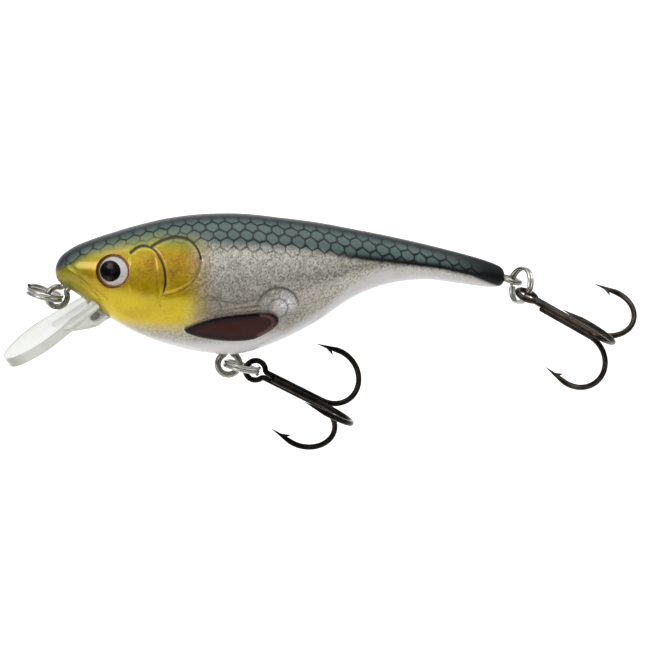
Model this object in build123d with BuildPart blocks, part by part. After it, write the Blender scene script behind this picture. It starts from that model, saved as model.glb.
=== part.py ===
"""A hollow plastic crankbait lure with a clear diving lip, split rings and two treble hooks.

Frame: millimetres, origin at the centre of the nose eyelet's hole, +X towards the tail,
+Z towards the back, -Y on the fish's left side. The shells meet on the plane y = 0.
"""

import os
from math import asin, cos, degrees, radians, sin, sqrt

from build123d import *

os.makedirs("parts", exist_ok=True)

# ---------------------------------------------------------------- body shells
# (x, back height, belly height, half width) of each cross-section, nose to tail
STATIONS = [
    (-0.20, 4.75, 2.75, 0.95),
    (0.50, 5.95, 1.90, 1.95),
    (2.2, 7.20, 0.85, 3.10),
    (4.6, 8.25, -0.75, 4.20),
    (7.8, 9.33, -3.15, 5.30),
    (11.8, 10.52, -5.32, 6.15),
    (16.2, 11.52, -6.95, 6.65),
    (21.0, 12.08, -8.05, 6.85),
    (26.5, 12.15, -8.25, 6.70),
    (32.0, 11.60, -6.45, 6.20),
    (37.5, 10.90, -3.60, 5.35),
    (43.0, 9.90, 0.10, 4.30),
    (48.0, 8.93, 2.00, 3.40),
    (53.5, 7.70, 2.60, 2.70),
    (59.0, 6.32, 1.95, 2.15),
    (63.0, 5.10, 1.50, 1.70),
    (64.5, 4.35, 1.80, 1.15),
]
NOSE_TIP = (-0.35, 0, 3.7)
TAIL_TIP = (64.9, 0, 3.1)
WALL = 1.2
HOLLOW = (11.8, 48.0)  # the first and last sections of the hollow
HALF_CUT = (160, 40)  # a rectangle that covers half of the casing

# ---------------------------------------------------------------- wire eyelets
GROOVE_GAP = 0.04
# name: hole centre, direction of the legs, the wire's plane normal, loop radius, wire radius,
# leg length from the hole's centre, length of the bent feet
NOSE_EYE = ((0, 0, 0), (0.643, 0, 0.766), (0, 1, 0), 1.45, 0.42, 5.6, 1.0)
BELLY_EYE = ((25.04, 0, -9.83), (0, 0, 1), (0, 1, 0), 1.575, 0.475, 6.0, 1.0)
TAIL_SLOPE = 17  # degrees that the tail eyelet points down
TAIL_AXIS = (sin(radians(TAIL_SLOPE)), 0, cos(radians(TAIL_SLOPE)))
TAIL_LEGS = (-cos(radians(TAIL_SLOPE)), 0, sin(radians(TAIL_SLOPE)))
TAIL_EYE = ((65.95, 0, 2.55), TAIL_LEGS, TAIL_AXIS, 1.3, 0.42, 7.5, 0.3)
NECK_BEND = 0.55
FOOT_BEND = 0.5

# ---------------------------------------------------------------- split rings
RING_RADIUS = 2.5  # to the middle of the wire
RING_WIRE = 0.25
RING_PITCH = 0.53
RING_TURNS = 1.97
NOSE_RING_RISE = 15  # degrees above straight ahead
BELLY_RING_DROP = 13.4  # degrees below straight back
TAIL_RING_YAW = 69  # degrees from straight back towards the left side
NOSE_RING_SHIFT = -0.6  # from the hole's centre to the ring's wire, along the ring's arm
BELLY_RING_SHIFT = -0.55
TAIL_RING_SHIFT = 0.45

# ---------------------------------------------------------------- treble hooks
HOOK_WIRE = 0.415
HOOK_EYE = 1.435
SHANK_END = 10.85  # where the bend starts, from the eye's centre
HOOK_BEND = 4.12
HOOK_TURN = 190
POINT_LENGTH = 3.3
POINT_TIP = 0.03
BARB_REACH = 0.55
BARB_THICK = 0.13
BRAZE_GAP = 0.01  # between wires that are brazed or pressed side by side
SINGLE_START = 2.5
SPREAD = 60  # degrees of the two hooks of the double wire from the eye's normal
BELLY_TREBLE_DROP = 26.5
BELLY_EYE_SLACK = 0.40  # the hook eye's centre lies this far back from the ring's wire
TAIL_LINK_ANGLE = 20  # degrees round the tail ring, down from its arm
TAIL_TREBLE_AIM = (0.8195, -0.3888, -0.4206)

# ---------------------------------------------------------------- diving lip
LIP_ROOT = (4.95, 0, -0.80)
LIP_DROP = 35.5
LIP_LENGTH = 14.9
LIP_THICK = 1.5
LIP_END_RADIUS = 6.6  # the blade ends in a round of this radius
NECK_HALF_WIDTH = 3.2
TONGUE_LENGTH = 4.0
TONGUE_HALF_WIDTH = 2.4
KEEL_HALF_WIDTH = 1.5
PELLET_RADIUS = 0.8
PELLET_DEPTH = 1.9  # below the plate's middle
PELLET_AHEAD = 0.75  # from the root towards the tip

# ---------------------------------------------------------------- eyes
EYE_CENTRE = (7.35, 4.95, 4.6)  # on the right side; the left side is mirrored
EYE_TURN = 19  # degrees that each eye looks ahead
EYE_LIFT = 6
SOCKET_RADIUS = 2.45
SOCKET_DEPTH = 0.95
EYE_GAP = 0.03
FOIL_THICK = 0.15
DOME_RIM = 0.70
DOME_RISE = 0.75

# ---------------------------------------------------------------- inside the shells
RATTLE_CENTRE = (31.5, -1.07)
RATTLE_OUTER = 3.2
RATTLE_BORE = 1.7
RATTLE_REACH = 4.6
BALL_RADIUS = 1.5
BALL_OFFSET = 1.55
PIN_SPOTS = [(14.0, 6.5), (21.9, -0.5), (40.5, 6.0)]
PIN_BOSS = 1.3
PIN_RADIUS = 0.7
PIN_LENGTH = 1.6
PIN_GAP = 0.05
WEIGHT_RADIUS = 1.7
WEIGHT_SPAN = (14.4, 20.4)
WEIGHT_HEIGHT = -3.3
WEIGHT_ROUNDING = 0.5
RIB_SPOTS = [15.6, 19.2]
RIB_THICK = 1.0
HANGER_BLOCK = (5.4, 4.4, 7.0)
HANGER_BLOCK_CENTRE = (25.04, 0, -6.2)


def unit(vector):
    """The vector at length one."""
    return Vector(*vector).normalized()


def station_plane(x, back, belly):
    """The plane of a cross-section, seen from the tail."""
    return Plane(origin=(x, 0, (back + belly) / 2), x_dir=(0, 1, 0), z_dir=(1, 0, 0))


def loft_stations(stations, inset, tips):
    """A smooth solid through the cross-sections, each drawn in by the inset."""
    with BuildPart() as form:
        for x, back, belly, half_width in stations:
            with BuildSketch(station_plane(x, back, belly)):
                Ellipse(half_width - inset, (back - belly) / 2 - inset)
        faces = list(form.pending_faces)
        form.pending_faces = []
        form.pending_face_planes = []
        if tips:
            faces = [Vertex(*tips[0]), *faces, Vertex(*tips[1])]
        loft(sections=faces)
    return form.part


def keyhole_path(centre, legs, normal, loop, half_gap, reach, foot=0.0):
    """A wire's line: two legs side by side that open into a round loop about the centre.

    The legs reach that far from the centre and, if foot is given, end in feet bent outwards.
    """
    plane = Plane(origin=centre, x_dir=legs, z_dir=normal)
    neck = sqrt((loop + NECK_BEND) ** 2 - (half_gap + NECK_BEND) ** 2)
    turn = 90 - degrees(asin((half_gap + NECK_BEND) / (loop + NECK_BEND)))
    with BuildLine(plane) as path:
        if foot:
            ankle = half_gap + FOOT_BEND
            toe = Line((reach, ankle + foot), (reach, ankle))
            heel = JernArc(toe @ 1, toe % 1, FOOT_BEND, -90)
            leg = Line(heel @ 1, plane.from_local_coords((neck, half_gap, 0)))
        else:
            leg = Line((reach, half_gap), (neck, half_gap))
        bend = JernArc(leg @ 1, leg % 1, NECK_BEND, -turn)
        ring = JernArc(bend @ 1, bend % 1, loop, 180 + 2 * turn)
        unbend = JernArc(ring @ 1, ring % 1, NECK_BEND, -turn)
        far = reach - FOOT_BEND if foot else reach
        other_leg = Line(unbend @ 1, plane.from_local_coords((far, -half_gap, 0)))
        if foot:
            other_heel = JernArc(other_leg @ 1, other_leg % 1, FOOT_BEND, -90)
            Line(other_heel @ 1, plane.from_local_coords((reach, -ankle - foot, 0)))
    return path.line


def wire(line, radius):
    """A round wire along the line."""
    with BuildPart() as rod:
        with BuildLine():
            add(line)
        with BuildSketch(Plane(origin=line @ 0, z_dir=line % 0)):
            Circle(radius)
        sweep()
    return rod.part


def split_ring(start, axis):
    """Two touching turns of wire about the axis, which begin in the plane of the start point."""
    with BuildPart() as ring:
        with BuildLine() as coil:
            Helix(RING_PITCH, RING_PITCH * RING_TURNS, RING_RADIUS, center=start, direction=axis)
        with BuildSketch(Plane(origin=coil.line @ 0, z_dir=coil.line % 0)):
            Circle(RING_WIRE)
        sweep(is_frenet=True)
    return ring.part


def hook_end(base, plane_x, radial):
    """The bend, point and barb of one hook that leaves the base along plane_x."""
    plane = Plane(origin=base, x_dir=plane_x, z_dir=plane_x.cross(radial))
    with BuildPart() as end:
        with BuildLine(plane) as bend:
            JernArc((0, 0), (1, 0), HOOK_BEND, HOOK_TURN)
        with BuildSketch(Plane(origin=bend.line @ 0, z_dir=bend.line % 0)):
            Circle(HOOK_WIRE)
        sweep()
        start = bend.line @ 1
        aim = bend.line % 1
        with BuildSketch(Plane(origin=start, z_dir=aim)):
            Circle(HOOK_WIRE)
        with BuildSketch(Plane(origin=start + aim * POINT_LENGTH, z_dir=aim)):
            Circle(POINT_TIP)
        loft()
        with BuildSketch(Plane(origin=start, x_dir=aim, z_dir=plane.z_dir)):
            with BuildLine():
                barb_root = HOOK_WIRE / 2
                Polyline((1.9, 0), (0.55, barb_root + BARB_REACH + 0.15), (0.95, 0), close=True)
            make_face()
        extrude(amount=BARB_THICK, both=True)
    return end.part


def treble_double(eye, shank, normal):
    """The two-hook wire of a treble: its eye, two shanks side by side and two hooks."""
    across = normal.cross(shank)
    half_gap = HOOK_WIRE + BRAZE_GAP / 2
    with BuildPart() as hooks:
        add(wire(keyhole_path(eye, shank, normal, HOOK_EYE, half_gap, SHANK_END), HOOK_WIRE))
        for side in (1, -1):
            base = eye + shank * SHANK_END + across * half_gap * side
            radial = normal * cos(radians(SPREAD)) + across * sin(radians(SPREAD)) * side
            add(hook_end(base, shank, radial))
    return hooks.part


def treble_single(eye, shank, normal):
    """The third hook, whose straight shank lies in the valley between the other two."""
    half_gap = HOOK_WIRE + BRAZE_GAP / 2
    drop = sqrt((2 * HOOK_WIRE) ** 2 - half_gap**2) + BRAZE_GAP
    base = eye + shank * SHANK_END - normal * drop
    with BuildPart() as hook:
        with BuildSketch(Plane(origin=base, z_dir=-shank)):
            Circle(HOOK_WIRE)
        extrude(amount=SHANK_END - SINGLE_START)
        chamfer(hook.faces().sort_by(Axis(base, -shank))[-1].edges(), HOOK_WIRE / 2)
        add(hook_end(base, shank, -normal))
    return hook.part


def keep(piece, name):
    """Label a finished piece and write its file."""
    piece.label = name
    export_step(piece, f"parts/{name}.step")


# ---------------------------------------------------------------- diving lip and its pellet
lip_axis = Vector(-cos(radians(LIP_DROP)), 0, -sin(radians(LIP_DROP)))
lip_normal = Vector(-sin(radians(LIP_DROP)), 0, cos(radians(LIP_DROP)))
lip_plane = Plane(origin=LIP_ROOT, x_dir=lip_axis, z_dir=lip_normal)
lip_side = Plane(origin=LIP_ROOT, x_dir=lip_axis, z_dir=(0, -1, 0))

lip_end = LIP_LENGTH - LIP_END_RADIUS
lip_flare = (lip_end + LIP_END_RADIUS * cos(radians(80)), LIP_END_RADIUS * sin(radians(80)))
lip_round = (lip_end + LIP_END_RADIUS * cos(radians(40)), LIP_END_RADIUS * sin(radians(40)))
with BuildPart() as lip_blank:
    with BuildSketch(lip_plane):
        with BuildLine():
            Spline(
                (0, NECK_HALF_WIDTH),
                (3.0, 4.6),
                (6.2, 6.0),
                lip_flare,
                tangents=[(1, 0.55), (sin(radians(80)), -cos(radians(80)))],
            )
            ThreePointArc(lip_flare, lip_round, (LIP_LENGTH, 0))
            Line((0, NECK_HALF_WIDTH), (-0.8, TONGUE_HALF_WIDTH))
            Line((-0.8, TONGUE_HALF_WIDTH), (-TONGUE_LENGTH, TONGUE_HALF_WIDTH))
            Line((-TONGUE_LENGTH, TONGUE_HALF_WIDTH), (-TONGUE_LENGTH, 0))
            mirror(about=Plane(origin=lip_plane.origin, z_dir=(0, 1, 0)))
        make_face()
    extrude(amount=LIP_THICK / 2, both=True)
    with BuildSketch(lip_side):
        with BuildLine():
            Polyline((-1.2, 0), (-1.2, 3.1), (1.2, 3.1), (2.4, 2.7), (6.8, 0.6), (6.8, 0), close=True)
        make_face()
    extrude(amount=KEEL_HALF_WIDTH, both=True)

pellet_centre = lip_plane.from_local_coords((PELLET_AHEAD, 0, -PELLET_DEPTH))
with BuildPart() as diving_lip:
    add(lip_blank.part)
    with BuildSketch(Plane(origin=pellet_centre, z_dir=-lip_axis)):
        Circle(PELLET_RADIUS + EYE_GAP)
    extrude(amount=3 * PELLET_RADIUS, mode=Mode.SUBTRACT)
    with Locations(pellet_centre):
        Sphere(PELLET_RADIUS + EYE_GAP, mode=Mode.SUBTRACT)
keep(diving_lip.part, "diving_lip")

with BuildPart() as lip_pellet:
    with Locations(pellet_centre):
        Sphere(PELLET_RADIUS)
keep(lip_pellet.part, "lip_pellet")

# ---------------------------------------------------------------- wire eyelets
eyelets = {"nose_eyelet": NOSE_EYE, "belly_eyelet": BELLY_EYE, "tail_eyelet": TAIL_EYE}
for name, (centre, legs, normal, loop, radius, reach, foot) in eyelets.items():
    line = keyhole_path(centre, legs, normal, loop, radius + BRAZE_GAP, reach, foot)
    keep(wire(line, radius), name)

# ---------------------------------------------------------------- the hollow inside the shells
with BuildPart() as hollow:
    inner_stations = [row for row in STATIONS if HOLLOW[0] <= row[0] <= HOLLOW[1]]
    add(loft_stations(inner_stations, WALL, None))
    with Locations((RATTLE_CENTRE[0], 0, RATTLE_CENTRE[1])):
        Cylinder(RATTLE_OUTER, 20, rotation=(90, 0, 0), mode=Mode.SUBTRACT)
    with Locations([(x, 0, z) for x, z in PIN_SPOTS]):
        Cylinder(PIN_BOSS, 20, rotation=(90, 0, 0), mode=Mode.SUBTRACT)
    with Locations(HANGER_BLOCK_CENTRE):
        Box(*HANGER_BLOCK, mode=Mode.SUBTRACT)
    with Locations([(x, 0, WEIGHT_HEIGHT - 3) for x in RIB_SPOTS]):
        Box(RIB_THICK, 20, 6, mode=Mode.SUBTRACT)

weight_middle = (sum(WEIGHT_SPAN) / 2, 0, WEIGHT_HEIGHT)
weight_length = WEIGHT_SPAN[1] - WEIGHT_SPAN[0]
eye_planes = {
    side: Plane(
        origin=(EYE_CENTRE[0], sign * EYE_CENTRE[1], EYE_CENTRE[2]),
        x_dir=(1, 0, 0.001),
        z_dir=(
            -sin(radians(EYE_TURN)) * cos(radians(EYE_LIFT)),
            sign * cos(radians(EYE_TURN)) * cos(radians(EYE_LIFT)),
            sin(radians(EYE_LIFT)),
        ),
    )
    for side, sign in (("left", -1), ("right", 1))
}



def eyelet_pocket(eye):
    """The outline, in the wire's own plane, of the pocket that holds an eyelet's legs and feet."""
    centre, legs, normal, loop, radius, reach, foot = eye
    room = radius + GROOVE_GAP
    ankle = radius + BRAZE_GAP + FOOT_BEND + foot + GROOVE_GAP
    with BuildSketch(Plane(origin=centre, x_dir=legs, z_dir=normal)) as pocket:
        Circle(loop + room)
        Rectangle(reach + room, 2 * (radius + BRAZE_GAP + room), align=(Align.MIN, Align.CENTER))
        with Locations((reach, 0)):
            Rectangle(2 * room, 2 * ankle)
    return pocket.sketch


def shell_half(side, sign):
    """One hollow half of the body with its pockets, ribs and bosses."""
    with BuildPart() as shell:
        add(loft_stations(STATIONS, 0, (NOSE_TIP, TAIL_TIP)))
        with BuildSketch(Plane.XZ):
            Rectangle(*HALF_CUT)
        extrude(amount=sign * HALF_CUT[1], mode=Mode.SUBTRACT, clean=False)
        add(hollow.part, mode=Mode.SUBTRACT, clean=False)
        with BuildSketch(Plane.XZ):
            with Locations(RATTLE_CENTRE):
                Circle(RATTLE_BORE)
        extrude(amount=RATTLE_REACH, both=True, mode=Mode.SUBTRACT, clean=False)
        with BuildSketch(Plane.YZ.offset(WEIGHT_SPAN[0] - PIN_GAP)):
            with Locations((0, WEIGHT_HEIGHT)):
                Circle(WEIGHT_RADIUS + PIN_GAP)
        extrude(amount=weight_length + 2 * PIN_GAP, mode=Mode.SUBTRACT, clean=False)
        for eye in eyelets.values():
            room = eye[4] + GROOVE_GAP
            extrude(eyelet_pocket(eye), amount=room, both=True, mode=Mode.SUBTRACT, clean=False)
        add(lip_blank.part, mode=Mode.SUBTRACT, clean=False)
        with BuildSketch(eye_planes[side].offset(-SOCKET_DEPTH)):
            Circle(SOCKET_RADIUS)
        extrude(amount=4 * SOCKET_DEPTH, mode=Mode.SUBTRACT, clean=False)
        if side == "left":
            with BuildSketch(Plane.XZ.offset(PIN_LENGTH)):
                with Locations(PIN_SPOTS):
                    Circle(PIN_RADIUS)
            extrude(amount=-2 * PIN_LENGTH, clean=False)
        else:
            with BuildSketch(Plane.XZ):
                with Locations(PIN_SPOTS):
                    Circle(PIN_RADIUS + PIN_GAP)
            extrude(amount=-PIN_LENGTH - 4 * PIN_GAP, mode=Mode.SUBTRACT, clean=False)
    return shell.part


# ---------------------------------------------------------------- the two shells
keep(shell_half("left", -1), "shell_left")
keep(shell_half("right", 1), "shell_right")

# ---------------------------------------------------------------- eyes
eye_radius = SOCKET_RADIUS - EYE_GAP
for side, plane in eye_planes.items():
    with BuildPart() as eye_foil:
        with BuildSketch(plane.offset(-SOCKET_DEPTH)):
            Circle(eye_radius)
        extrude(amount=FOIL_THICK)
    keep(eye_foil.part, f"eye_foil_{side}")

    base = plane.offset(FOIL_THICK - SOCKET_DEPTH)
    with BuildPart() as eye_dome:
        with BuildSketch(Plane(origin=base.origin, x_dir=base.x_dir, z_dir=base.y_dir)) as half:
            with BuildLine():
                sign = base.z_dir.dot(half.workplanes[0].y_dir)
                rim = (eye_radius, sign * DOME_RIM)
                crown = (0, sign * (DOME_RIM + DOME_RISE))
                Polyline(crown, (0, 0), (eye_radius, 0), rim)
                cap_radius = (eye_radius**2 + DOME_RISE**2) / (2 * DOME_RISE)
                RadiusArc(rim, crown, -sign * cap_radius)
            make_face()
        revolve(axis=Axis(base.origin, base.z_dir))
    keep(eye_dome.part, f"eye_dome_{side}")

# ---------------------------------------------------------------- weight and rattle balls
with BuildPart() as keel_weight:
    with Locations(weight_middle):
        Cylinder(WEIGHT_RADIUS, weight_length, rotation=(0, 90, 0))
    fillet(keel_weight.edges().filter_by(GeomType.CIRCLE), WEIGHT_ROUNDING)
keep(keel_weight.part, "keel_weight")

for side, sign in (("left", -1), ("right", 1)):
    with BuildPart() as rattle_ball:
        with Locations((RATTLE_CENTRE[0], sign * BALL_OFFSET, RATTLE_CENTRE[1])):
            Sphere(BALL_RADIUS)
    keep(rattle_ball.part, f"rattle_ball_{side}")

# ---------------------------------------------------------------- split rings
nose_arm = Vector(-cos(radians(NOSE_RING_RISE)), 0, sin(radians(NOSE_RING_RISE)))
belly_arm = Vector(cos(radians(BELLY_RING_DROP)), 0, -sin(radians(BELLY_RING_DROP)))
tail_axis = Vector(*TAIL_AXIS)
tail_arm = -unit(TAIL_LEGS) * cos(radians(TAIL_RING_YAW)) - Vector(0, 1, 0) * sin(radians(TAIL_RING_YAW))


def ring_centre(eye, arm, shift):
    """The middle of a ring whose wire passes the eyelet's hole at that shift along the arm."""
    return Vector(*eye[0]) + arm * (shift + RING_RADIUS)


def ring_at(centre, axis):
    """A split ring about the centre, its two turns either side of the ring's middle plane."""
    middle = RING_PITCH * RING_TURNS / 2
    return split_ring(centre - axis * middle, axis)


nose_ring_centre = ring_centre(NOSE_EYE, nose_arm, NOSE_RING_SHIFT)
belly_ring_centre = ring_centre(BELLY_EYE, belly_arm, BELLY_RING_SHIFT)
tail_ring_centre = ring_centre(TAIL_EYE, tail_arm, TAIL_RING_SHIFT)
across = Vector(0, 1, 0)
keep(ring_at(nose_ring_centre, nose_arm.cross(across)), "nose_split_ring")
keep(ring_at(belly_ring_centre, belly_arm.cross(across)), "belly_split_ring")
keep(ring_at(tail_ring_centre, tail_axis.cross(tail_arm)), "tail_split_ring")

# ---------------------------------------------------------------- treble hooks
belly_link = belly_ring_centre + belly_arm * RING_RADIUS
belly_shank = Vector(cos(radians(BELLY_TREBLE_DROP)), 0, -sin(radians(BELLY_TREBLE_DROP)))
belly_hook_eye = belly_link - belly_arm * BELLY_EYE_SLACK
keep(treble_double(belly_hook_eye, belly_shank, across), "belly_treble_double")
keep(treble_single(belly_hook_eye, belly_shank, across), "belly_treble_single")

link_angle = radians(TAIL_LINK_ANGLE)
tail_link = tail_ring_centre + (tail_arm * cos(link_angle) - tail_axis * sin(link_angle)) * RING_RADIUS
tail_tangent = -tail_arm * sin(link_angle) - tail_axis * cos(link_angle)
tail_shank = unit(TAIL_TREBLE_AIM)
tail_eye_normal = (tail_tangent - tail_shank * tail_tangent.dot(tail_shank)).normalized()
keep(treble_double(tail_link, tail_shank, -tail_eye_normal), "tail_treble_double")
keep(treble_single(tail_link, tail_shank, -tail_eye_normal), "tail_treble_single")

print("nose ring pivot", NOSE_EYE[0])
print("belly ring pivot", BELLY_EYE[0], "belly link", belly_link)
print("tail ring pivot", TAIL_EYE[0], "axis", tail_axis)
print("tail link", tail_link, "axis", tail_tangent)
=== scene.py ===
"""A crankbait lure: painted hollow body, clear lip, domed eyes, rings and treble hooks."""

from math import cos, pi, radians, sin

import bmesh
import bpy
import numpy as np
from mathutils import Matrix, Vector


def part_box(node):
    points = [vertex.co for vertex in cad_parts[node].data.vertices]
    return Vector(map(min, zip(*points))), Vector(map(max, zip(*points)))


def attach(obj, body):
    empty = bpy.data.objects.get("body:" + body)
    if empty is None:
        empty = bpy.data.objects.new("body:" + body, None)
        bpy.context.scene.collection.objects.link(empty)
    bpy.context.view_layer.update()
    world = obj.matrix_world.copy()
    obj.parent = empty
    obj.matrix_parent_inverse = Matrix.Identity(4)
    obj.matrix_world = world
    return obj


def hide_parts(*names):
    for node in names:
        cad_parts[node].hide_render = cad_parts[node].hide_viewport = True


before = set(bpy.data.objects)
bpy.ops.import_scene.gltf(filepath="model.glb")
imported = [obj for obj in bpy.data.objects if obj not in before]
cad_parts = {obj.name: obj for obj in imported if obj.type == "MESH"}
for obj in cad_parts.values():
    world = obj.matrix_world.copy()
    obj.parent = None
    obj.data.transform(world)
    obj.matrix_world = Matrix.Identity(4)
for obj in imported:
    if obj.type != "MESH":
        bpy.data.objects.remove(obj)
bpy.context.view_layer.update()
MM = 0.001

# ---------------------------------------------------------------- the body's form, in millimetres
# (x, back height, belly height, half width) of each cross-section, from the nose tip to the tail tip
STATIONS = np.array([
    (-0.35, 3.70, 3.70, 0.00),
    (-0.20, 4.75, 2.75, 0.95),
    (0.50, 5.95, 1.90, 1.95),
    (2.2, 7.20, 0.85, 3.10),
    (4.6, 8.25, -0.75, 4.20),
    (7.8, 9.33, -3.15, 5.30),
    (11.8, 10.52, -5.32, 6.15),
    (16.2, 11.52, -6.95, 6.65),
    (21.0, 12.08, -8.05, 6.85),
    (26.5, 12.15, -8.25, 6.70),
    (32.0, 11.60, -6.45, 6.20),
    (37.5, 10.90, -3.60, 5.35),
    (43.0, 9.90, 0.10, 4.30),
    (48.0, 8.93, 2.00, 3.40),
    (53.5, 7.70, 2.60, 2.70),
    (59.0, 6.32, 1.95, 2.15),
    (63.0, 5.10, 1.50, 1.70),
    (64.5, 4.35, 1.80, 1.15),
    (64.9, 3.10, 3.10, 0.00),
])
ALONG = 500  # cross-sections drawn along a half
AROUND = 176  # points around each of them, from the back to the belly
JOINT_FADE = 4  # how steeply the relief sets in beside the joint face

# an eye: the middle of its mouth, and how far it looks ahead and up, in degrees
EYE_CENTRE = (7.35, 4.95, 4.6)
EYE_TURN = 19
EYE_LIFT = 6
SOCKET_RADIUS = 2.45
SOCKET_DEPTH = 0.95
SOCKET_TOOL_LENGTH = 6
# the head's colour is kept this far beside the socket's wall, and this far down it
SOCKET_RIM = 0.25
SOCKET_REACH = 3
# the bores that hold the rattle balls, across the body, and the keel weight, along it
RATTLE_CENTRE = (31.5, 0, -1.07)
RATTLE_BORE = 1.75
RATTLE_REACH = 4.65
KEEL_CENTRE = (17.4, 0, -3.3)
KEEL_BORE = 1.75
KEEL_LENGTH = 6.1
BORE_SEGMENTS = 144

# ---------------------------------------------------------------- relief of the flank, in millimetres
# lines and outlines are (x, z) points
CHEEK_LINE = [
    (9.9, 7.2), (11.2, 8.1), (12.3, 8.2), (13.3, 7.7), (14.2, 6.4),
    (14.7, 4.8), (14.8, 3.1), (14.4, 1.3), (14.2, -0.1),
]
CHEEK_FRONT = [(10.0, 0.5), (9.5, 4.0)]
GILL_LINE = [(13.0, 8.2), (15.0, 9.2), (16.6, 9.5), (18.2, 9.2), (19.4, 8.1), (19.9, 6.6)]
GILL_EDGE = [(19.9, 6.6), (19.6, 4.9), (18.6, 3.3), (16.8, 2.1), (14.5, 1.4)]
GILL_FRONT = [(14.4, 1.3), (14.8, 4.8), (14.2, 6.4)]
JAW_LINE = [(0.9, 5.6), (2.6, 3.9), (4.6, 2.0), (6.6, 0.4)]
LIP_LINE = [(3.0, 3.0), (4.3, 1.6), (5.4, 0.6)]
FIN = [
    (17.8, -3.6), (19.8, -2.6), (21.9, -1.9), (23.9, -1.5), (26.9, -1.2), (29.4, -1.1), (30.8, -1.5),
    (31.5, -2.5), (30.9, -3.6), (29.5, -4.6), (27.9, -5.35), (25.1, -5.6), (22.0, -5.35), (19.3, -4.75),
    (18.1, -4.2),
]
FIN_RIDGE = [(28.8, -1.5), (30.3, -1.95), (30.6, -2.8), (29.8, -3.7), (28.5, -4.4)]
FIN_FOLD = [(20.4, -1.7), (22.5, -0.9), (25.0, -0.35), (28.3, 0.0)]

# marks that follow lines: the lines, the mark's width, and its height, which is below zero for a groove
LINE_MARKS = {
    "line": ((CHEEK_LINE, GILL_LINE), 0.15, -0.12),
    "soft_line": ((GILL_EDGE,), 0.30, -0.10),
    "crease": ((JAW_LINE, LIP_LINE), 0.21, -0.14),
    "fold": ((FIN_FOLD,), 0.25, -0.07),
    "fin_ridge": ((FIN_RIDGE,), 0.22, 0.12),
}
# marks that fill an outline or lie round the fin: their height
AREA_MARKS = {"plate": 0.10, "fin_swell": 0.22, "fin_moat": -0.12}
PLATE_ROUNDING = 0.5
# how far inside the fin's outline each of its marks begins and is full
FIN_EDGE = (-0.12, 0.12)
FIN_CORE = (0.25, 1.3)
FIN_SWELL = (-0.25, 0.45)
FIN_MOAT_OFFSET = 0.3
FIN_MOAT_WIDTH = 0.2
# how far sideways the surface has to look to begin to carry the marks, and to carry them in full
FACING = (0.15, 0.45)

# ---------------------------------------------------------------- paint on the flank, in millimetres
# heights, along the body, at which the dark back and the pearl belly begin
BACK_EDGE = [
    (-1, 3.4), (0, 4.2), (2, 5.6), (4, 6.8), (8, 8.1), (14, 9.3), (18, 9.2),
    (22, 7.9), (30, 7.5), (38, 7.0), (46, 5.9), (55, 4.7), (60, 3.5), (65, 1.4),
]
BELLY_EDGE = [
    (-1, -4), (6, -5), (12, -5.5), (20, -6.2), (28, -5.0), (33, -4.3), (38, -1.2),
    (42, 2.4), (46, 4.4), (52, 4.4), (58, 3.4), (62, 2.5), (65, 1.4),
]
# half the height, along the body, over which the back fades into the flank
BACK_SOFTNESS = [(0, 0.8), (18, 2.3), (34, 2.1), (46, 0.3), (65, 0.2)]
BELLY_FADE = (-0.9, 0.9)

# a pair is where a change of colour begins and where it is complete
HEAD_REAR = (17.2, 22.6)
HEAD_FOOT = (-5.2, -2.0)
# below its top, the head's rear edge bows towards the nose
HEAD_BOW = 0.025
HEAD_BOW_TOP = 3
# below these heights the head turns yellow and the silver flank is painted darker, a painted shade
CHEEK_AND_LOW_SHADE_FADE = (0.0, 3.4)
BROW_FADE = (-2.6, -0.4)
SNOUT_FADE = (1.5, 5.5)
GILL_LINE_FADE = (0.5, 3.0)
SOFT_LINE_SHARE = 0.35
TAIL_START = (56, 63)
TAIL_TOP = (-0.6, 0.4)
HEM_START = (34, 44)
HEM_OFFSET = 0.25
HEM_WIDTH = 0.45

# what shows through the silver: the rattle tube's flange and mouth, a locating pin, an inner edge,
# and the shade and glow about the tube
RATTLE_TUBE = (31.2, -0.6)
TUBE_FLANGE = 3.1
TUBE_FLANGE_WIDTH = 0.2
TUBE_FLANGE_FOOT = (-1.0, 0.5)
TUBE_MOUTH = 1.45
FRONT_PIN = (21.7, -0.3)
FRONT_PIN_RADIUS = 1.15
ROUND_WIDTH = 0.16
ROUND_SHARE = 0.8
INNER_EDGE = [(18.6, -0.4), (19.6, 0.8), (21.4, 1.3), (23.2, 0.6), (25.6, 0.3), (28.0, 1.0)]
INNER_EDGE_WIDTH = 0.22
INNER_EDGE_SHARE = 0.6
SHADE_HEIGHT = -1.1
SHADE_WIDTH = 1.7
SHADE_START = (17.5, 20)
SHADE_END = (33, 37)
GLOW_CENTRE = (32.4, 0.2)
GLOW_SIZE = (2.3, 1.9)
GLOW_WIDTH = 0.8


def catmull_rom(rows, count):
    """Smooth rows through the given ones, closer together where those are closer."""
    steps = np.sqrt(np.linalg.norm(np.diff(rows, axis=0), axis=1))
    knots = np.concatenate([[0], np.cumsum(steps)])
    slopes = np.gradient(rows, knots, axis=0, edge_order=2)
    where = np.linspace(0, knots[-1], count)
    k = np.clip(np.searchsorted(knots, where, side="right") - 1, 0, len(rows) - 2)
    width = (knots[k + 1] - knots[k])[:, None]
    t = (where - knots[k])[:, None] / width
    start, end = rows[k], rows[k + 1]
    start_slope, end_slope = slopes[k] * width, slopes[k + 1] * width
    ease = 3 * t**2 - 2 * t**3
    bend = (t**3 - 2 * t**2 + t) * start_slope + (t**3 - t**2) * end_slope
    return (1 - ease) * start + ease * end + bend


def smooth_line(line, count=60):
    """The same line, rounded."""
    return [tuple(point) for point in catmull_rom(np.array(line, float), count)]


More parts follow.
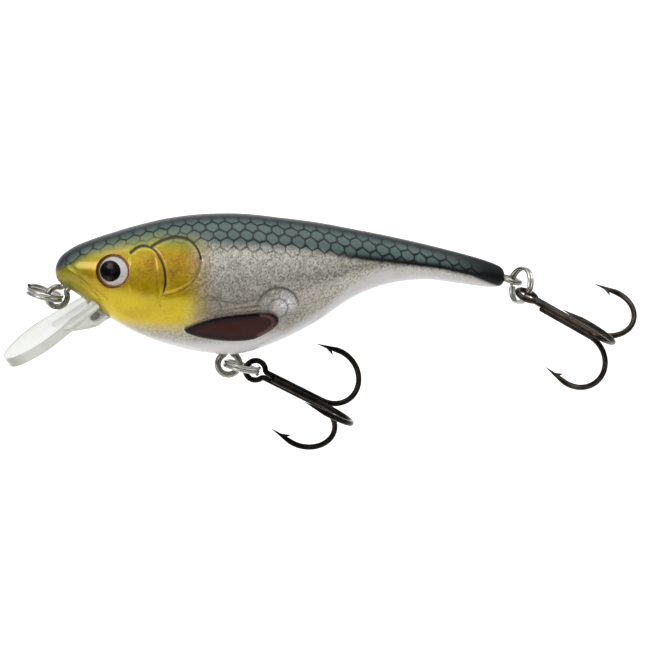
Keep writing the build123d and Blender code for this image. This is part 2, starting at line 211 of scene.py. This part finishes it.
def distance_to_line(points, line):
    """The distance from each (x, z) point to a line of straight pieces."""
    best = np.full(len(points), np.inf)
    for a, b in zip(np.array(line[:-1], float), np.array(line[1:], float)):
        squared = max((b - a) @ (b - a), 1e-12)
        along = np.clip(((points - a) @ (b - a)) / squared, 0, 1)
        best = np.minimum(best, np.linalg.norm(points - a - along[:, None] * (b - a), axis=1))
    return best


def inside(points, outline):
    """Whether each (x, z) point lies inside a closed outline."""
    x, z = points.T
    found = np.zeros(len(points), bool)
    for (xa, za), (xb, zb) in zip(outline, outline[1:] + outline[:1]):
        if za == zb:
            continue
        crosses = (za > z) != (zb > z)
        found ^= crosses & (x < (xb - xa) * (z - za) / (zb - za) + xa)
    return found


def step(value, low, high):
    """A smooth rise from 0 at low to 1 at high."""
    t = np.clip((value - low) / (high - low), 0, 1)
    return t * t * (3 - 2 * t)


def groove(distance, width):
    """A rounded mark: 1 at no distance, and almost 0 at twice the width."""
    return np.exp(-((distance / width) ** 2))


def plain_half(side):
    """The outside of one half without relief: rows of points from the back round to the belly."""
    x, top, bottom, half_width = catmull_rom(STATIONS, ALONG).T[:, :, None]
    turn = np.linspace(0, pi, AROUND)[None]
    y = side * np.maximum(half_width, 0) * np.sin(turn)
    z = (top + bottom) / 2 + (top - bottom) / 2 * np.cos(turn)
    return np.stack(np.broadcast_arrays(x, y, z), axis=2)


def outward_normals(grid):
    """Unit normals of a half's outside, pointing out of the body."""
    normal = np.cross(np.gradient(grid, axis=0), np.gradient(grid, axis=1))
    normal /= np.maximum(np.linalg.norm(normal, axis=2), 1e-9)[..., None]
    away = grid - (grid[:, :1] + grid[:, -1:]) / 2
    away[..., 0] = 0
    return normal * np.where((normal * away).sum(axis=2) < 0, -1, 1)[..., None]


def flank_marks(flank, facing):
    """How strongly each moulded mark shows at each (x, z) point, from 0 to 1."""
    marks = {}
    for mark, (lines, width, _) in LINE_MARKS.items():
        nearest = np.min([distance_to_line(flank, smooth_line(line)) for line in lines], axis=0)
        marks[mark] = groove(nearest, width)
    cheek, gill, gill_edge = smooth_line(CHEEK_LINE), smooth_line(GILL_LINE), smooth_line(GILL_EDGE)
    plates = inside(flank, cheek + CHEEK_FRONT) | inside(flank, gill + gill_edge + GILL_FRONT)
    marks["plate"] = plates * step(distance_to_line(flank, cheek + gill + gill_edge), 0, PLATE_ROUNDING)
    fin = smooth_line(FIN + FIN[:1], 120)
    within_fin = distance_to_line(flank, fin) * np.where(inside(flank, fin), 1, -1)
    marks["fin"] = step(within_fin, *FIN_EDGE)
    marks["fin_core"] = step(within_fin, *FIN_CORE)
    marks["fin_swell"] = step(within_fin, *FIN_SWELL)
    marks["fin_moat"] = groove(within_fin + FIN_MOAT_OFFSET, FIN_MOAT_WIDTH)
    return {mark: strength * facing for mark, strength in marks.items()}


def inner_outlines(flank, z):
    """The outlines of the parts inside that show through the silver."""
    x = flank[:, 0]
    from_tube = np.hypot(x - RATTLE_TUBE[0], z - RATTLE_TUBE[1])
    from_pin = np.hypot(x - FRONT_PIN[0], z - FRONT_PIN[1])
    from_edge = distance_to_line(flank, smooth_line(INNER_EDGE))
    return np.max([
        groove(from_tube - TUBE_FLANGE, TUBE_FLANGE_WIDTH) * step(z, *TUBE_FLANGE_FOOT),
        ROUND_SHARE * groove(from_tube - TUBE_MOUTH, ROUND_WIDTH),
        ROUND_SHARE * groove(from_pin - FRONT_PIN_RADIUS, ROUND_WIDTH),
        INNER_EDGE_SHARE * groove(from_edge, INNER_EDGE_WIDTH),
    ], axis=0)


def paint_masks(flank, z, facing, marks):
    """Where each colour lies: a value from 0 to 1 at each point, for the paint to read."""
    x = flank[:, 0]
    over_back_edge = z - np.interp(x, *np.array(BACK_EDGE).T)
    over_belly_edge = z - np.interp(x, *np.array(BELLY_EDGE).T)
    softness = np.interp(x, *np.array(BACK_SOFTNESS).T)
    bowed = x + HEAD_BOW * np.minimum(z - HEAD_BOW_TOP, 0) ** 2
    from_glow = np.hypot((x - GLOW_CENTRE[0]) / GLOW_SIZE[0], (z - GLOW_CENTRE[1]) / GLOW_SIZE[1])
    shade_length = step(x, *SHADE_START) * (1 - step(x, *SHADE_END))
    return {
        "back": step(over_back_edge, -softness, softness),
        "head": (1 - step(bowed, *HEAD_REAR)) * step(z, *HEAD_FOOT),
        "belly": 1 - step(over_belly_edge, *BELLY_FADE),
        "fin": marks["fin"],
        "fin_core": marks["fin_core"],
        "fin_ridge": marks["fin_ridge"],
        # the yellow cheek, and the painted shade low on the silver flank
        "low": 1 - step(z, *CHEEK_AND_LOW_SHADE_FADE),
        "brow": np.maximum(step(over_back_edge, *BROW_FADE), 1 - step(x, *SNOUT_FADE)),
        "line": np.maximum(marks["line"] * step(z, *GILL_LINE_FADE), SOFT_LINE_SHARE * marks["soft_line"]),
        "tail": step(x, *TAIL_START) * step(over_back_edge, *TAIL_TOP),
        "rib": inner_outlines(flank, z) * facing,
        "inner_shade": groove(z - SHADE_HEIGHT, SHADE_WIDTH) * shade_length,
        "inner_glow": groove(from_glow, GLOW_WIDTH),
        "hem": groove(over_back_edge - HEM_OFFSET, HEM_WIDTH) * step(x, *HEM_START),
    }


def half_mesh(name, points, masks, layout):
    """A closed mesh from rows of points: the outside of a half and its flat joint face."""
    firsts = range(0, (ALONG - 1) * AROUND, AROUND)
    corners = (a for first in firsts for a in range(first, first + AROUND - 1))
    faces = [(a, a + 1, a + AROUND + 1, a + AROUND) for a in corners]
    faces += [(first, first + AROUND, first + 2 * AROUND - 1, first + AROUND - 1) for first in firsts]
    mesh = bpy.data.meshes.new(name)
    mesh.from_pydata([tuple(point) for point in points * MM], [], faces)
    corner = np.zeros(len(mesh.loops), int)
    mesh.loops.foreach_get("vertex_index", corner)
    mesh.uv_layers.new(name="flank").data.foreach_set("uv", layout[corner].reshape(-1))
    for mask, values in masks.items():
        attribute_layer = mesh.attributes.new(mask, "FLOAT", "POINT")
        attribute_layer.data.foreach_set("value", values.astype(np.float32))
    cleaned = bmesh.new()
    cleaned.from_mesh(mesh)
    bmesh.ops.remove_doubles(cleaned, verts=cleaned.verts, dist=1e-7)
    bmesh.ops.recalc_face_normals(cleaned, faces=cleaned.faces)
    for face in cleaned.faces:
        face.smooth = True
    cleaned.to_mesh(mesh)
    cleaned.free()
    return mesh


def eye_frame(side):
    """The middle of an eye's mouth and the direction it looks."""
    turn, lift = radians(EYE_TURN), radians(EYE_LIFT)
    outward = Vector((-sin(turn) * cos(lift), side * cos(turn) * cos(lift), sin(lift)))
    return Vector((EYE_CENTRE[0], side * EYE_CENTRE[1], EYE_CENTRE[2])), outward


def cut_round(half_object, middle, axis, radius, length):
    """Take a round bore out of a body half."""
    cutter = bmesh.new()
    place = Matrix.Translation(middle * MM) @ axis.to_track_quat("Z", "Y").to_matrix().to_4x4()
    bmesh.ops.create_cone(
        cutter, cap_ends=True, segments=BORE_SEGMENTS, matrix=place,
        radius1=radius * MM, radius2=radius * MM, depth=length * MM,
    )
    tool_mesh = bpy.data.meshes.new("bore_tool")
    cutter.to_mesh(tool_mesh)
    cutter.free()
    tool = bpy.data.objects.new("bore_tool", tool_mesh)
    bpy.context.scene.collection.objects.link(tool)
    cut = half_object.modifiers.new("bore", "BOOLEAN")
    cut.operation = "DIFFERENCE"
    cut.solver = "EXACT"
    cut.object = tool
    view = bpy.context.evaluated_depsgraph_get()
    cut_half = half_object.evaluated_get(view)
    result = bpy.data.meshes.new_from_object(cut_half, preserve_all_data_layers=True, depsgraph=view)
    half_object.modifiers.clear()
    half_object.data = result
    bpy.data.objects.remove(tool)


def colour_socket(mesh, centre, outward):
    """Keep the head's colour on the socket's walls."""
    spots = np.zeros(len(mesh.vertices) * 3)
    mesh.vertices.foreach_get("co", spots)
    away = spots.reshape(-1, 3) / MM - np.array(centre)
    axis = np.array(outward)
    depth = away @ axis
    radius = np.linalg.norm(away - depth[:, None] * axis, axis=1)
    near = (radius < SOCKET_RADIUS + SOCKET_RIM) & (depth > -SOCKET_REACH)
    for mask in mesh.attributes:
        if mask.domain == "POINT" and mask.data_type == "FLOAT":
            values = np.zeros(len(mesh.vertices), np.float32)
            mask.data.foreach_get("value", values)
            values[near] = 1.0 if mask.name == "head" else 0.0
            mask.data.foreach_set("value", values)


def body_half(name, side):
    """One painted half of the body, with its relief, eye socket and bores."""
    grid = plain_half(side)
    plain = grid.reshape(-1, 3)
    normal = outward_normals(grid).reshape(-1, 3)
    flank = plain[:, [0, 2]]
    facing = step(np.abs(normal[:, 1]), *FACING)
    marks = flank_marks(flank, facing)
    heights = {mark: height for mark, (_, _, height) in LINE_MARKS.items()} | AREA_MARKS
    relief = sum(height * marks[mark] for mark, height in heights.items())
    turn = np.tile(np.linspace(0, pi, AROUND), ALONG)
    from_joint = np.clip(JOINT_FADE * turn * (pi - turn), 0, 1)
    points = plain + normal * (relief * from_joint)[:, None]
    masks = paint_masks(flank, points[:, 2], facing, marks)

    lengths = np.linalg.norm(np.diff(grid, axis=1), axis=2)
    from_back = np.pad(np.cumsum(lengths, axis=1), ((0, 0), (1, 0)))
    layout = np.stack([plain[:, 0], from_back.reshape(-1)], axis=1)
    half_object = bpy.data.objects.new(name, half_mesh(name, points, masks, layout))
    bpy.context.scene.collection.objects.link(half_object)

    centre, outward = eye_frame(side)
    socket_middle = centre + outward * (SOCKET_TOOL_LENGTH / 2 - SOCKET_DEPTH)
    cut_round(half_object, socket_middle, outward, SOCKET_RADIUS, SOCKET_TOOL_LENGTH)
    cut_round(half_object, Vector(RATTLE_CENTRE), Vector((0, 1, 0)), RATTLE_BORE, 2 * RATTLE_REACH)
    cut_round(half_object, Vector(KEEL_CENTRE), Vector((1, 0, 0)), KEEL_BORE, KEEL_LENGTH)
    colour_socket(half_object.data, centre, outward)
    return half_object


# ---------------------------------------------------------------- node helpers
def new_material(name):
    """A material with its node tree and its Principled shader."""
    material = bpy.data.materials.new(name)
    material.use_nodes = True
    tree = material.node_tree
    return material, tree, tree.nodes["Principled BSDF"]


def put(tree, socket, value):
    """Link a socket to the value, or set it."""
    if isinstance(value, bpy.types.NodeSocket):
        tree.links.new(value, socket)
    else:
        socket.default_value = value


def surface(tree, shader, settings):
    """Link or set the shader's named inputs."""
    for name, value in settings.items():
        put(tree, shader.inputs[name], value)


def calc(tree, operation, a, b=0.0, clamp=False):
    """A Math node's result."""
    node = tree.nodes.new("ShaderNodeMath")
    node.operation = operation
    node.use_clamp = clamp
    put(tree, node.inputs[0], a)
    put(tree, node.inputs[1], b)
    return node.outputs[0]


def linear(tree, value, slope, start=0.0):
    """The value times the slope, from a start."""
    return calc(tree, "ADD", start, calc(tree, "MULTIPLY", value, slope))


def vector(tree, operation, a, b=(0, 0, 0)):
    """A Vector Math node's result."""
    node = tree.nodes.new("ShaderNodeVectorMath")
    node.operation = operation
    put(tree, node.inputs[0], a)
    put(tree, node.inputs[1], b)
    return node.outputs["Value" if operation == "LENGTH" else "Vector"]


def blend_colours(tree, share, a, b):
    """A colour that goes from a to b as the share goes from 0 to 1."""
    node = tree.nodes.new("ShaderNodeMix")
    node.data_type = "RGBA"
    put(tree, node.inputs[0], share)
    put(tree, node.inputs[6], a if isinstance(a, bpy.types.NodeSocket) else (*a, 1))
    put(tree, node.inputs[7], b if isinstance(b, bpy.types.NodeSocket) else (*b, 1))
    return node.outputs[2]


def rise(tree, value, low, high):
    """A smooth step from 0 at low to 1 at high."""
    node = tree.nodes.new("ShaderNodeMapRange")
    node.interpolation_type = "SMOOTHSTEP"
    put(tree, node.inputs[0], value)
    node.inputs[1].default_value = low
    node.inputs[2].default_value = high
    return node.outputs[0]


def noise(tree, coordinate, scale, detail=3.0, output="Fac"):
    """Noise between 0 and 1; the scale is the number of waves in one unit of the coordinate."""
    node = tree.nodes.new("ShaderNodeTexNoise")
    put(tree, node.inputs["Vector"], coordinate)
    node.inputs["Scale"].default_value = scale
    node.inputs["Detail"].default_value = detail
    return node.outputs[output]


def cells(tree, coordinate, scale):
    """A random colour for each small cell."""
    node = tree.nodes.new("ShaderNodeTexVoronoi")
    put(tree, node.inputs["Vector"], coordinate)
    node.inputs["Scale"].default_value = scale
    return node.outputs["Color"]


def attribute(tree, name):
    """A mask stored on the mesh."""
    node = tree.nodes.new("ShaderNodeAttribute")
    node.attribute_name = name
    return node.outputs["Fac"]


def tint(tree, colour, mask, towards, strength=1.0):
    """The colour, turned towards another one where a mask on the mesh says so."""
    return blend_colours(tree, linear(tree, attribute(tree, mask), strength), colour, towards)


def bump(tree, shader, height, distance, strength):
    """Fine relief on the shader's normal."""
    node = tree.nodes.new("ShaderNodeBump")
    node.inputs["Strength"].default_value = strength
    node.inputs["Distance"].default_value = distance
    put(tree, node.inputs["Height"], height)
    tree.links.new(node.outputs[0], shader.inputs["Normal"])


def object_coordinate(tree):
    """The place on the object, in metres."""
    return tree.nodes.new("ShaderNodeTexCoord").outputs["Object"]


def flank_layout(tree):
    """The body's layout in millimetres: along the body, and down from the back's edge."""
    node = tree.nodes.new("ShaderNodeUVMap")
    node.uv_map = "flank"
    return node.outputs[0]


# ---------------------------------------------------------------- materials
WHITE = (1.0, 1.0, 1.0)

BACK_CELL_DARK = (0.060, 0.090, 0.085)
BACK_CELL = (0.110, 0.165, 0.150)
SCALE_EDGE = (0.008, 0.012, 0.012)
RIDGE = (0.028, 0.036, 0.038)
BACK_HEM = (0.008, 0.009, 0.009)
FLANK_HEM = (0.012, 0.013, 0.012)
TAIL_BLACK = (0.006, 0.007, 0.008)

HEAD_YELLOW = (0.62, 0.46, 0.004)
HEAD_AMBER = (0.32, 0.135, 0.0015)
HEAD_GREEN = (0.13, 0.15, 0.035)
HEAD_SPARK = (1.0, 0.8, 0.05)
BROW = (0.27, 0.27, 0.012)
OUTLINE = (0.025, 0.025, 0.012)

SILVER = (0.41, 0.385, 0.33)
GLITTER_DARK = (0.17, 0.155, 0.125)
GLITTER_BRIGHT = (1.0, 0.97, 0.88)
# painted shade: the colour the silver turns towards low on the flank
SILVER_LOW_SHADE = (0.17, 0.14, 0.10)
INNER_SHADE = (0.11, 0.08, 0.05)
INNER_GLOW = (0.45, 0.44, 0.42)
INNER_LINE = (0.13, 0.12, 0.10)
PEARL = (0.60, 0.57, 0.555)
PEARL_BRIGHT = (0.74, 0.72, 0.73)

FIN_RED = (0.036, 0.005, 0.003)
FIN_RIM = (0.006, 0.001, 0.001)
# a painted highlight along the fin's ridge
FIN_PAINTED_HIGHLIGHT = (0.20, 0.09, 0.07)

# the scales' size and spacing, in millimetres
SCALE_LENGTH = 1.9
SCALE_ROW = 1.45
SCALE_WANDER = 0.7
SCALE_GAP = (0.10, 0.50)
SCALE_ROUND = (0.72, 0.96)
# the two sets of scales, each set in the gaps of the other
SCALE_SETS = ((0.5, 0.75, 0), (0.0, 0.25, 0))
RIDGE_END = (1.2, 2.9)

IRIS = (0.97, 0.97, 0.96)
IRIS_GREY = (0.88, 0.88, 0.87)
PUPIL = (0.004, 0.004, 0.005)
EYE_RING = (0.42, 0.18, 0.02)
EYE_RING_RIM = (0.14, 0.05, 0.008)
# radii in millimetres at which the eye's colours begin to change and have changed
PUPIL_EDGE = (1.38, 1.47)
IRIS_EDGE = (1.88, 2.02)
EYE_RING_EDGE = (2.05, 2.4)
PUPIL_AHEAD = 0.48

LIP_CLEAR = (0.60, 0.61, 0.56)
LIP_MILKY = (0.74, 0.75, 0.70)
PAPER = (0.93, 0.93, 0.93)


def scale_outline(tree):
    """1 along the outlines of the six-sided scales and 0 inside them."""
    plain = flank_layout(tree)
    wander = vector(tree, "SUBTRACT", noise(tree, plain, 0.45, 2.0, "Color"), (0.5, 0.5, 0))
    layout = vector(tree, "ADD", plain, vector(tree, "MULTIPLY", wander, (SCALE_WANDER, SCALE_WANDER, 0)))
    length, height = SCALE_LENGTH, 2 * SCALE_ROW
    distances = []
    for shift in SCALE_SETS:
        place = vector(tree, "ADD", vector(tree, "DIVIDE", layout, (length, height, 1)), shift)
        centred = vector(tree, "SUBTRACT", vector(tree, "FRACTION", place), (0.5, 0.5, 0))
        distances.append(vector(tree, "LENGTH", vector(tree, "MULTIPLY", centred, (length, height, 0))))
    gap = calc(tree, "ABSOLUTE", calc(tree, "SUBTRACT", *distances))
    edge = calc(tree, "SUBTRACT", 1.0, rise(tree, gap, *SCALE_GAP))
    return calc(tree, "MAXIMUM", edge, rise(tree, calc(tree, "MINIMUM", *distances), *SCALE_ROUND))


def back_colour(tree, scale, broad):
    """Dark scales in darker outlines, with a plain ridge, a black hem and a black tail."""
    cell = blend_colours(tree, broad, BACK_CELL_DARK, BACK_CELL)
    back = tint(tree, blend_colours(tree, scale, cell, SCALE_EDGE), "hem", BACK_HEM)
    split = tree.nodes.new("ShaderNodeSeparateXYZ")
    put(tree, split.inputs[0], flank_layout(tree))
    ridge = calc(tree, "SUBTRACT", 1.0, rise(tree, split.outputs["Y"], *RIDGE_END))
    return tint(tree, blend_colours(tree, ridge, back, RIDGE), "tail", TAIL_BLACK)


def head_colour(tree, spark, mottle):
    """Mottled amber that is yellow on the cheek and olive on the brow."""
    low = linear(tree, attribute(tree, "low"), 0.65)
    amber = blend_colours(tree, calc(tree, "ADD", linear(tree, mottle, 0.42), low), HEAD_AMBER, HEAD_YELLOW)
    amber = blend_colours(tree, linear(tree, spark, 0.18), amber, HEAD_SPARK)
    return tint(tree, amber, "brow", BROW, 0.75)


def flank_colour(tree, spark):
    """Glittering silver with the parts inside showing through, painted shade low down, and painted shade
    and glow about the rattle tube.
    """
    glitter = blend_colours(tree, spark, GLITTER_DARK, GLITTER_BRIGHT)
    # painted shade: the silver turns darker and browner low on the flank
    silver = tint(tree, blend_colours(tree, 0.48, SILVER, glitter), "low", SILVER_LOW_SHADE, 0.325)
    silver = tint(tree, silver, "inner_shade", INNER_SHADE, 0.6)
    silver = tint(tree, silver, "inner_glow", blend_colours(tree, spark, INNER_GLOW, WHITE), 0.8)
    return tint(tree, silver, "rib", INNER_LINE)


def fin_colour(tree):
    """Maroon with a dark rim and a painted highlight along the ridge."""
    red = blend_colours(tree, attribute(tree, "fin_core"), FIN_RIM, FIN_RED)
    # painted highlight: a lighter colour along the fin's ridge
    return tint(tree, red, "fin_ridge", FIN_PAINTED_HIGHLIGHT, 0.55)


def body_paint():
    """Dark scaled back, amber head, silver glitter flank and pearl belly under a clear coat."""
    material, tree, shader = new_material("body_paint")
    place = object_coordinate(tree)
    broad = noise(tree, place, 160)
    mottle = calc(tree, "ADD", linear(tree, broad, 0.6), linear(tree, noise(tree, place, 520), 0.4))
    spark = rise(tree, vector(tree, "LENGTH", cells(tree, place, 4600)), 0.45, 1.5)
    scale = scale_outline(tree)
    back_share = attribute(tree, "back")

    pearl = blend_colours(tree, noise(tree, place, 900), PEARL, PEARL_BRIGHT)
    paint = tint(tree, flank_colour(tree, spark), "belly", pearl)
    paint = tint(tree, paint, "head", head_colour(tree, spark, rise(tree, mottle, 0.38, 0.6)))
    paint = tint(tree, paint, "hem", FLANK_HEM)
    green = calc(tree, "MULTIPLY", attribute(tree, "head"), rise(tree, back_share, 0.02, 0.6))
    paint = blend_colours(tree, green, paint, HEAD_GREEN)
    # where the back fades out, the scales' outlines reach further down than their middles
    outlined = calc(tree, "MULTIPLY", back_share, linear(tree, scale, 0.55, 0.45))
    solid = calc(tree, "MULTIPLY", back_share, back_share)
    cover = rise(tree, calc(tree, "MAXIMUM", outlined, solid), 0.05, 0.9)
    paint = blend_colours(tree, cover, paint, back_colour(tree, scale, broad))
    paint = blend_colours(tree, rise(tree, attribute(tree, "line"), 0.1, 0.65), paint, OUTLINE)
    paint = tint(tree, paint, "fin", fin_colour(tree))

    dark = calc(tree, "MAXIMUM", back_share, attribute(tree, "fin"))
    plain = calc(tree, "MAXIMUM", attribute(tree, "belly"), dark)
    surface(tree, shader, {
        "Base Color": paint,
        "Metallic": linear(tree, calc(tree, "SUBTRACT", 1.0, plain, clamp=True), 0.55),
        "Roughness": linear(tree, spark, 0.15, 0.28),
        "Specular IOR Level": 0.12,
        "Coat Weight": linear(tree, dark, -0.48, 0.6),
        "Coat Roughness": 0.09,
    })
    bump(tree, shader, calc(tree, "SUBTRACT", linear(tree, spark, 0.5), scale), 0.02 * MM, 0.25)
    return material


def metal_finish(name, colour, dark, roughness):
    """Plated wire with faint drawing marks and small changes of tone."""
    material, tree, shader = new_material(name)
    place = object_coordinate(tree)
    tone = rise(tree, noise(tree, place, 700, 4.0), 0.3, 0.75)
    surface(tree, shader, {
        "Base Color": blend_colours(tree, tone, dark, colour),
        "Metallic": 1.0,
        "Roughness": linear(tree, noise(tree, place, 2600), 0.15, roughness),
    })
    bump(tree, shader, noise(tree, place, 6000), 0.01 * MM, 0.25)
    return material


def lip_plastic():
    """Clear, slightly milky polycarbonate with faint flow marks."""
    material, tree, shader = new_material("lip_clear")
    place = object_coordinate(tree)
    haze = rise(tree, noise(tree, place, 220), 0.3, 0.8)
    surface(tree, shader, {
        "Base Color": blend_colours(tree, haze, LIP_CLEAR, LIP_MILKY),
        "Transmission Weight": 0.72,
        "IOR": 1.45,
        "Roughness": linear(tree, haze, 0.12, 0.05),
    })
    bump(tree, shader, noise(tree, place, 350), 0.1 * MM, 0.15)
    return material


def eye_print(name, centre):
    """A white iris with a black pupil set a little ahead, inside an orange-brown ring."""
    material, tree, shader = new_material(name)
    place = object_coordinate(tree)
    pupil_centre = centre + Vector((-PUPIL_AHEAD * MM, 0, 0))
    radius = vector(tree, "LENGTH", vector(tree, "SUBTRACT", place, tuple(centre)))
    from_pupil = vector(tree, "LENGTH", vector(tree, "SUBTRACT", place, tuple(pupil_centre)))
    radius, from_pupil = linear(tree, radius, 1 / MM), linear(tree, from_pupil, 1 / MM)
    iris = blend_colours(tree, rise(tree, noise(tree, place, 3000), 0.2, 0.9), IRIS_GREY, IRIS)
    ring = blend_colours(tree, rise(tree, radius, *EYE_RING_EDGE), EYE_RING, EYE_RING_RIM)
    colour = blend_colours(tree, rise(tree, radius, *IRIS_EDGE), iris, ring)
    surface(tree, shader, {
        "Base Color": blend_colours(tree, rise(tree, from_pupil, *PUPIL_EDGE), PUPIL, colour),
        "Roughness": 0.4,
        "Specular IOR Level": 0.0,
    })
    return material


def lens():
    """Clear epoxy with a faint unevenness in its polish."""
    material, tree, shader = new_material("eye_lens_clear")
    surface(tree, shader, {
        "Base Color": (*WHITE, 1),
        "Transmission Weight": 1.0,
        "IOR": 1.25,
        "Roughness": linear(tree, noise(tree, object_coordinate(tree), 900), 0.03),
    })
    return material


def give(node, material):
    """Give a CAD node a better material."""
    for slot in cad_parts[node].material_slots:
        slot.material = material


# ---------------------------------------------------------------- the painted halves
paint = body_paint()
for half_name, side in (("painted_half_left", -1), ("painted_half_right", 1)):
    half = body_half(half_name, side)
    half.data.materials.append(paint)
    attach(half, "lure_body")
    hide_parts("shell_left" if side < 0 else "shell_right")

# ---------------------------------------------------------------- CAD pieces with their finishes
nickel = metal_finish("bright_nickel", (0.58, 0.57, 0.54), (0.38, 0.37, 0.34), 0.14)
eyelet_wire = metal_finish("eyelet_wire", (0.42, 0.41, 0.35), (0.24, 0.235, 0.19), 0.2)
for place in ("nose", "belly", "tail"):
    give(place + "_eyelet", eyelet_wire)
    give(place + "_split_ring", nickel)

black_nickel = metal_finish("black_nickel", (0.026, 0.021, 0.017), (0.007, 0.006, 0.005), 0.18)
worn_nickel = metal_finish("black_nickel_worn", (0.055, 0.043, 0.035), (0.015, 0.012, 0.010), 0.18)
for hooks in ("_double", "_single"):
    give("belly_treble" + hooks, black_nickel)
    give("tail_treble" + hooks, worn_nickel)

give("diving_lip", lip_plastic())
clear = lens()
for side_name in ("left", "right"):
    low, high = (Vector(corner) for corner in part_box("eye_foil_" + side_name))
    give("eye_foil_" + side_name, eye_print("eye_print_" + side_name, (low + high) / 2))
    give("eye_dome_" + side_name, clear)

steel = metal_finish("plain_steel", (0.20, 0.20, 0.20), (0.10, 0.10, 0.10), 0.35)
for node in ("lip_pellet", "keel_weight", "rattle_ball_left", "rattle_ball_right"):
    give(node, steel)

# ---------------------------------------------------------------- studio, in metres
SHEET_LEVEL = -0.22
SHEET_FRONT = -0.6
SHEET_HALF_WIDTH = 3
SHEET_TOP = 2.5
BEND_START = 0.5
BEND_RADIUS = 0.6
LURE_MIDDLE = (0.035, 0, 0)
SKY_FADE = (-0.25, 0.75)
SKY_LOW = (0.02, 0.02, 0.021)
SKY_HIGH = (0.85, 0.85, 0.85)


def backdrop():
    """A pale sheet lying under the lure and curving up behind it."""
    profile = [(SHEET_FRONT, SHEET_LEVEL), (BEND_START, SHEET_LEVEL)]
    for turn in range(10, 91, 10):
        y = BEND_START + BEND_RADIUS * sin(radians(turn))
        profile.append((y, SHEET_LEVEL + BEND_RADIUS * (1 - cos(radians(turn)))))
    profile.append((BEND_START + BEND_RADIUS, SHEET_TOP))
    vertices = [(x, y, z) for y, z in profile for x in (-SHEET_HALF_WIDTH, SHEET_HALF_WIDTH)]
    faces = [(2 * i, 2 * i + 1, 2 * i + 3, 2 * i + 2) for i in range(len(profile) - 1)]
    mesh = bpy.data.meshes.new("studio_sheet")
    mesh.from_pydata(vertices, [], faces)
    mesh.polygons.foreach_set("use_smooth", [True] * len(faces))
    sheet = bpy.data.objects.new("studio_sheet", mesh)
    bpy.context.scene.collection.objects.link(sheet)
    material, tree, shader = new_material("studio_paper")
    # seen from underneath, the sheet is clear, so it never hides the lure
    underneath = tree.nodes.new("ShaderNodeNewGeometry").outputs["Backfacing"]
    surface(tree, shader, {
        "Base Color": (*PAPER, 1),
        "Roughness": 0.9,
        "Alpha": calc(tree, "SUBTRACT", 1, underneath),
    })
    mesh.materials.append(material)


def sky():
    """Light from above that fades to dark below, with plain pale paper wherever the camera sees it."""
    world = bpy.data.worlds.new("studio")
    bpy.context.scene.world = world
    world.use_nodes = True
    tree = world.node_tree
    split = tree.nodes.new("ShaderNodeSeparateXYZ")
    put(tree, split.inputs[0], tree.nodes.new("ShaderNodeTexCoord").outputs["Generated"])
    shade = blend_colours(tree, rise(tree, split.outputs["Z"], *SKY_FADE), SKY_LOW, SKY_HIGH)
    seen = tree.nodes.new("ShaderNodeLightPath").outputs["Is Camera Ray"]
    put(tree, tree.nodes["Background"].inputs["Color"], blend_colours(tree, seen, shade, PAPER))


def area_light(name, location, size, power, aim=LURE_MIDDLE):
    """A soft rectangular lamp aimed at a point."""
    lamp = bpy.data.lights.new(name, "AREA")
    lamp.shape = "RECTANGLE"
    lamp.size, lamp.size_y = size
    lamp.energy = power
    lamp_object = bpy.data.objects.new(name, lamp)
    lamp_object.location = location
    lamp_object.rotation_euler = (Vector(aim) - Vector(location)).to_track_quat("-Z", "Y").to_euler()
    bpy.context.scene.collection.objects.link(lamp_object)


backdrop()
sky()
area_light("overhead", (0.03, -0.15, 0.70), (0.8, 0.5), 2.6)
area_light("left_front", (-0.45, -0.50, 0.30), (0.30, 0.3), 1.3)
area_light("sheet_light", (0.03, 0.35, 0.50), (1.2, 0.2), 6.5, (0.03, 1.05, 0.05))

# ---------------------------------------------------------------- camera
AZIMUTH, ELEVATION, ROLL = radians(-8), radians(10.5), radians(1.5)
TARGET = Vector((38.94, 0, -4.11)) * MM
DISTANCE = 1.2
SEEN_WIDTH = 93.9 * MM
SENSOR_WIDTH = 36
PICTURE_SIZE = 650

back = Vector((cos(ELEVATION) * sin(AZIMUTH), -cos(ELEVATION) * cos(AZIMUTH), sin(ELEVATION)))
camera = bpy.data.cameras.new("camera")
camera.sensor_width = SENSOR_WIDTH
camera.lens = SENSOR_WIDTH * DISTANCE / SEEN_WIDTH
camera.clip_start, camera.clip_end = 0.05, 20
camera_object = bpy.data.objects.new("camera", camera)
orientation = (-back).to_track_quat("-Z", "Y").to_matrix() @ Matrix.Rotation(ROLL, 3, "Z")
camera_object.matrix_world = Matrix.Translation(TARGET + back * DISTANCE) @ orientation.to_4x4()
bpy.context.scene.collection.objects.link(camera_object)
bpy.context.scene.camera = camera_object
bpy.context.scene.render.resolution_x = PICTURE_SIZE
bpy.context.scene.render.resolution_y = PICTURE_SIZE
bpy.context.scene.view_settings.view_transform = "Standard"
